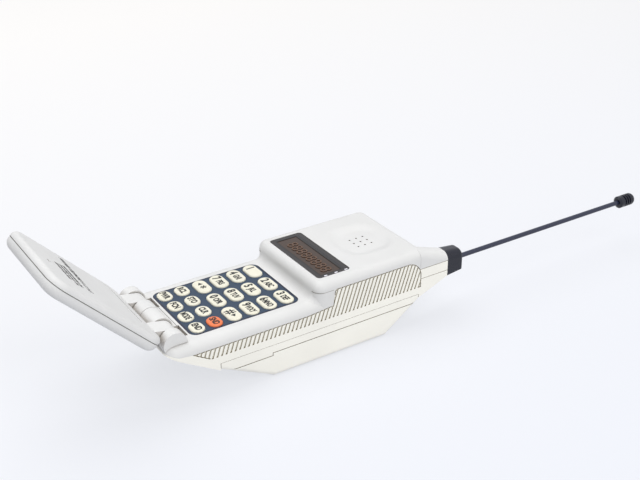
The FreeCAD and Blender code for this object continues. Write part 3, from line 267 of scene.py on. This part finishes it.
# The dark edge round the keypad is painted shade of the gap round the panel.
NAVY = (0.017, 0.040, 0.080)
NAVY_GAP_SHADE = (0.006, 0.009, 0.030)
PANEL_GAP_SHADE_WIDTH = 0.8 * MM        # width of the painted shade of the gap round the keypad
panel = framed("panel_navy_gap_shade", middle("keypad_panel"),
               [side - PANEL_GAP_SHADE_WIDTH for side in half_size("keypad_panel")], 1.6 * MM,
               [(-0.2 * MM, NAVY), (0.1 * MM, NAVY_GAP_SHADE)], 0.4)

SMOKED = (0.046, 0.024, 0.014)
GROOVE_BLACK = (0.008, 0.007, 0.007)
FRAME_BLACK = (0.026, 0.023, 0.023)
VIEW_MIDDLE = middle("display_module")
window = framed("window_smoke", VIEW_MIDDLE, half_size("display_module"), 0.2 * MM,
                [(-0.15 * MM, SMOKED), (0.0, GROOVE_BLACK),
                 (0.7 * MM, GROOVE_BLACK), (0.85 * MM, FRAME_BLACK)], 0.17)

FINISH = {
    "shell_white": shell_white, "shell_cream": shell_cream, "key_cream": key_cream,
    "key_orange": key_orange, "panel_navy": panel, "membrane_rubber": rubber,
    "board_green": board, "bright_steel": steel, "window_smoke": window,
    "digit_red": led_red, "speaker_grey": speaker, "black_plastic": black,
    "rod_black": rod_black, "contact_gold": gold, "cell_wrap": wrap,
}
for part in frame["record"]["subparts"]:
    for place in NODES[part["node"]].material_slots:
        place.material = FINISH[part["material_slot"]]


# ------------------------------------------------------------------ helpers

def deselect():
    """Leaves nothing selected."""
    bpy.ops.object.select_all(action="DESELECT")


def only(piece):
    """Leaves one piece selected and active."""
    deselect()
    piece.select_set(True)
    bpy.context.view_layer.objects.active = piece


def rest(piece):
    """Bakes the object's place into its mesh."""
    only(piece)
    bpy.ops.object.transform_apply(location=True, rotation=True, scale=True)


def softened(piece, width):
    """Takes the sharpness off every edge."""
    only(piece)
    bpy.ops.object.mode_set(mode="EDIT")
    bpy.ops.mesh.select_all(action="SELECT")
    bpy.ops.mesh.bevel(offset=width, segments=1)
    bpy.ops.object.mode_set(mode="OBJECT")


def finish(piece, name, material, body):
    """Names a piece, gives it its material and lets it ride on a body."""
    piece.name = name
    piece.data.name = name
    piece.data.materials.clear()
    piece.data.materials.append(material)
    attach(piece, body)


# ------------------------------------------------------------ key legends

def word(text, x, y, z, height, squeeze=1.0, weight=0.0):
    """Printed word lying flat: its top towards +X, read from +Y to -Y.

    Squeeze is its width as a share of the font's, weight its extra boldness in mm.
    """
    deselect()
    bpy.ops.object.text_add(location=(x, y, z), rotation=(0, 0, radians(-90)))
    piece = bpy.context.object
    curve = piece.data
    curve.body = text
    curve.size = height / CAP_SHARE
    curve.align_x = "CENTER"
    curve.align_y = "CENTER"
    curve.offset = weight * MM
    curve.extrude = INK_THICK / 2
    curve.resolution_u = 3
    bpy.ops.object.convert(target="MESH")
    piece = bpy.context.object
    piece.scale = (squeeze, 1, 1)
    rest(piece)
    return piece


def joined(pieces):
    """Makes one piece of several."""
    deselect()
    for piece in pieces:
        piece.select_set(True)
    bpy.context.view_layer.objects.active = pieces[0]
    if len(pieces) > 1:
        bpy.ops.object.join()
    return bpy.context.object


MAIN = {
    "one": ("1", ""), "two": ("2", "ABC"), "three": ("3", "DEF"), "four": ("4", "GHI"),
    "five": ("5", "JKL"), "six": ("6", "MNO"), "seven": ("7", "PRS"), "eight": ("8", "TUV"),
    "nine": ("9", "WXY"), "zero": ("0", "OPR"),
}
SMALL = {"recall": "RCL", "store": "STO", "clear": "CLR", "send": "SND",
         "power": "PWR", "function": "FCN", "mode": "MODE", "end": "END"}

SIGNS = (("star", "*", 1, 1.3 * MM), ("pound", "#", -1, 0))

DIGIT_HEIGHT = 4.3 * MM
LETTER_HEIGHT = 3.2 * MM
SIGN_HEIGHT = 5.4 * MM
ARROW_RADIUS = 1.5 * MM


def print_spot(key):
    """Where a legend lies: the middle of the key, just above its top."""
    x, y, _ = middle("key_" + key)
    return x, y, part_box("key_" + key)[1][2] + INK_RAISE


def legend(key, marks):
    """Joins the marks of a key and lets them ride on its cap."""
    finish(joined(marks), "legend_" + key, ink, "key_" + key + "_cap")


for key, (digit, letters) in MAIN.items():
    x, y, top = print_spot(key)
    aside = 3.0 * MM if letters else 2.7 * MM
    marks = [word(digit, x, y + aside, top, DIGIT_HEIGHT, 0.75, 0.25)]
    if letters:
        marks.append(word(letters, x - 0.3 * MM, y - 1.7 * MM, top, LETTER_HEIGHT, 0.62, 0.19))
    legend(key, marks)

for key, letters in SMALL.items():
    x, y, top = print_spot(key)
    squeeze = 0.7 if len(letters) < 4 else 0.54
    legend(key, [word(letters, x, y, top, LETTER_HEIGHT, squeeze, 0.20)])

for key, sign, side, low in SIGNS:
    x, y, top = print_spot(key)
    mark = word(sign, x - low, y - side * 1.2 * MM, top, SIGN_HEIGHT, 0.85, 0.12)
    deselect()
    bpy.ops.mesh.primitive_cylinder_add(
        vertices=3, radius=ARROW_RADIUS, depth=INK_THICK,
        location=(x, y + side * 2.2 * MM, top),
        rotation=(0, 0, radians(0 if side > 0 else 180)))
    arrow = bpy.context.object
    rest(arrow)
    legend(key, [mark, arrow])


# ------------------------------------------------------ display and flip print

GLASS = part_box("display_window")[1][2] + INK_RAISE
RIDGE_X = 12.6 * MM
MARK_PLACES = (1.1 * MM, 7.2 * MM, 13.0 * MM)
MARK_Y = -22.6 * MM


def slab(x, y, size, edge):
    """A thin slab on the window with its edges softened."""
    deselect()
    bpy.ops.mesh.primitive_cube_add(size=1, location=(x, y, GLASS))
    piece = bpy.context.object
    piece.scale = size
    rest(piece)
    softened(piece, edge)
    return piece


digits = word("88888888", VIEW_MIDDLE[0] - 0.8 * MM, -1.5 * MM, GLASS, 6.4 * MM)
finish(digits, "display_digits", digit_ink, "handset")
ridge = slab(RIDGE_X, 0, (0.35 * MM, 43 * MM, 0.08 * MM), 0.025 * MM)
finish(ridge, "window_ridge", black, "handset")
# three small pale slabs on the window's near edge: painted glints
marks = [slab(x, MARK_Y, (1.7 * MM, 0.9 * MM, 0.05 * MM), 0.015 * MM) for x in MARK_PLACES]
finish(joined(marks), "window_marks", painted_glint_pale, "handset")

HOOD_LINE = 37.25 * MM       # height of the painted shadow line
HOOD_SIDE = 29.6 * MM
HOOD_BEND = -3.5 * MM        # where the side turns into the front corner
HOOD_CORNER = 5 * MM
LINE_END = 1.4 * MM


def hood_line(side):
    """Painted shadow line under the hood's edge, a thin dark strip: along its side, then spun
    round the front corner.
    """
    length = LINE_END - HOOD_BEND
    deselect()
    bpy.ops.mesh.primitive_cube_add(
        size=1, location=(HOOD_BEND + length / 2, side * HOOD_SIDE, HOOD_LINE))
    line = bpy.context.object
    line.scale = (length, 0.02 * MM, 0.24 * MM)
    rest(line)
    end = min(line.data.polygons, key=lambda face: face.center.x).index
    bpy.ops.object.mode_set(mode="EDIT")
    bpy.ops.mesh.select_mode(type="FACE")
    bpy.ops.mesh.select_all(action="DESELECT")
    bpy.ops.object.mode_set(mode="OBJECT")
    line.data.polygons[end].select = True
    bpy.ops.object.mode_set(mode="EDIT")
    bpy.ops.mesh.spin(steps=18, angle=radians(-90) * side, axis=(0, 0, 1),
                      center=(HOOD_BEND, side * (HOOD_SIDE - HOOD_CORNER), HOOD_LINE))
    bpy.ops.mesh.select_all(action="SELECT")
    bpy.ops.mesh.remove_doubles(threshold=0.001 * MM)
    bpy.ops.mesh.normals_make_consistent(inside=False)
    bpy.ops.object.mode_set(mode="OBJECT")
    return line


# a thin dark strip on each side: painted shadow under the hood's edge
finish(hood_line(-1), "hood_line_near", shadow_line_grey, "handset")
finish(hood_line(1), "hood_line_far", shadow_line_grey, "handset")

HINGE = Vector((-81.7, 0, 33.3)) * MM
FLIP_ANGLE = radians(133.8)
ALONG = Vector((cos(FLIP_ANGLE), 0, sin(FLIP_ANGLE)))     # from the hinge to the flip's tip
FACE = Vector((sin(FLIP_ANGLE), 0, -cos(FLIP_ANGLE)))     # out of the inner face
PRINT_DEPTH = 0.77 * MM      # how far the inner face lies behind the hinge's axis


def flip_word(text, along, start, end, height, weight):
    """Printed line across the flip's inner face, along mm from the hinge, its top to the hinge.

    It is stretched to run from start to end in mm of Y.
    """
    piece = word(text, 0, 0, 0, height * MM, 1.0, weight)
    stretch = (start - end) * MM / piece.dimensions.y
    spot = HINGE + ALONG * along * MM - FACE * PRINT_DEPTH
    spot.y = (start + end) / 2 * MM
    turn = Matrix((-ALONG, (0, 1, 0), FACE)).transposed().to_4x4()
    piece.matrix_world = Matrix.Translation(spot) @ turn @ Matrix.Diagonal((1, stretch, 1, 1))
    rest(piece)
    return piece


PRINT = (
    ("PORTABLE TELEPHONE  0 1 2 3 4 5", 46.2, 22.0, -15.0, 3.0, 0.10),
    ("RAISE ANTENNA BEFORE A CALL", 51.4, 7.5, -15.5, 1.8, 0.05),
    ("CLOSE COVER TO END A CALL", 54.2, 6.5, -16.5, 1.8, 0.05),
    ("KEEP DRY AND CLEAN", 57.0, 5.5, -12.5, 1.8, 0.05),
)
finish(joined([flip_word(*line) for line in PRINT]), "flip_print", flip_ink, "flip")


# ------------------------------------------------------------------- studio

def backdrop_level(tree, dim, bright):
    """A strength that is bright to the camera, to gloss and through glass, and dim as light."""
    path = add(tree, "ShaderNodeLightPath")
    seen = path.outputs["Is Camera Ray"]
    for ray in ("Is Glossy Ray", "Is Transmission Ray"):
        either = add(tree, "ShaderNodeMath", operation="MAXIMUM")
        tree.links.new(seen, either.inputs[0])
        tree.links.new(path.outputs[ray], either.inputs[1])
        seen = either.outputs[0]
    level = add(tree, "ShaderNodeMapRange")
    level.inputs["To Min"].default_value = dim
    level.inputs["To Max"].default_value = bright
    tree.links.new(seen, level.inputs["Value"])
    return level.outputs[0]


FLOOR_SIZE = 8
FLOOR_DROP = 0.2 * MM        # gap between the floor and the telephone
FLOOR_NEAR, FLOOR_FAR = -0.25, 0.6
FLOOR_COLOURS = ((0.285, 0.29, 0.312), (0.31, 0.305, 0.305))
FLOOR_GLOWS = ((0.84, 0.87, 0.935), (1.0, 0.99, 0.975))
LAMPS = (
    # name, place, size, power, colour
    ("soft_lamp_near", (0.05, -1.42, 1.05), 2.0, 20.0, (1, 0.99, 0.965)),
    ("soft_lamp_above", (-0.20, 0.45, 1.50), 1.8, 17.5, (1, 1, 1)),
)
LAMP_AIM = Vector((0, 0, 0.03))


def pale_floor():
    """A plain floor that cools a little towards the near side."""
    low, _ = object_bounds()
    deselect()
    bpy.ops.mesh.primitive_plane_add(size=FLOOR_SIZE, location=(0, 0, low[2] - FLOOR_DROP))
    floor = bpy.context.object
    floor.name = "studio_floor"
    material, tree, shader = new_material("studio_floor_paper")
    apart = add(tree, "ShaderNodeSeparateXYZ")
    place = add(tree, "ShaderNodeTexCoord").outputs["Object"]
    tree.links.new(place, apart.inputs[0])
    depth = add(tree, "ShaderNodeMapRange")
    depth.inputs["From Min"].default_value = FLOOR_NEAR
    depth.inputs["From Max"].default_value = FLOOR_FAR
    tree.links.new(apart.outputs["Y"], depth.inputs["Value"])
    tone = ramp(tree, depth.outputs[0], list(zip((0.0, 1.0), FLOOR_COLOURS)))
    tree.links.new(tone, shader.inputs["Base Color"])
    shader.inputs["Roughness"].default_value = 0.9
    shader.inputs["Specular IOR Level"].default_value = 0.1
    glow = ramp(tree, depth.outputs[0], list(zip((0.0, 1.0), FLOOR_GLOWS)))
    tree.links.new(glow, shader.inputs["Emission Color"])
    tree.links.new(backdrop_level(tree, 0.42, 0.64), shader.inputs["Emission Strength"])
    floor.data.materials.append(material)


def pale_world():
    """An even pale sky, dimmer as light than as backdrop."""
    world = bpy.data.worlds.new("studio_world")
    bpy.context.scene.world = world
    world.use_nodes = True
    tree = world.node_tree
    sky = tree.nodes["Background"]
    tree.links.new(backdrop_level(tree, 0.40, 1.0), sky.inputs["Strength"])
    sky.inputs["Color"].default_value = (0.96, 0.97, 1.0, 1)


def soft_lamps():
    """A broad lamp on the near side and one from above."""
    for name, spot, size, power, tint in LAMPS:
        lamp = bpy.data.lights.new(name, "AREA")
        lamp.shape = "DISK"
        lamp.size = size
        lamp.energy = power
        lamp.color = tint
        thing = bpy.data.objects.new(name, lamp)
        bpy.context.scene.collection.objects.link(thing)
        thing.location = spot
        aim = LAMP_AIM - Vector(spot)
        thing.rotation_euler = aim.to_track_quat("-Z", "Y").to_euler()


def camera():
    """A camera above the near side, towards the mouthpiece end."""
    data = bpy.data.cameras.new("camera")
    data.sensor_width = 36.0
    data.lens = 59.625
    thing = bpy.data.objects.new("camera", data)
    bpy.context.scene.collection.objects.link(thing)
    right = Vector((0.8398, -0.5428, -0.0065))
    up = Vector((0.2548, 0.3837, 0.8876))
    back = Vector((-0.4793, -0.7471, 0.4605))
    turn = Matrix((right, up, back)).transposed()
    thing.matrix_world = Matrix.Translation((-0.2443, -0.4002, 0.2953)) @ turn.to_4x4()
    bpy.context.scene.camera = thing


pale_floor()
pale_world()
soft_lamps()
camera()
bpy.context.scene.view_settings.view_transform = "Standard"
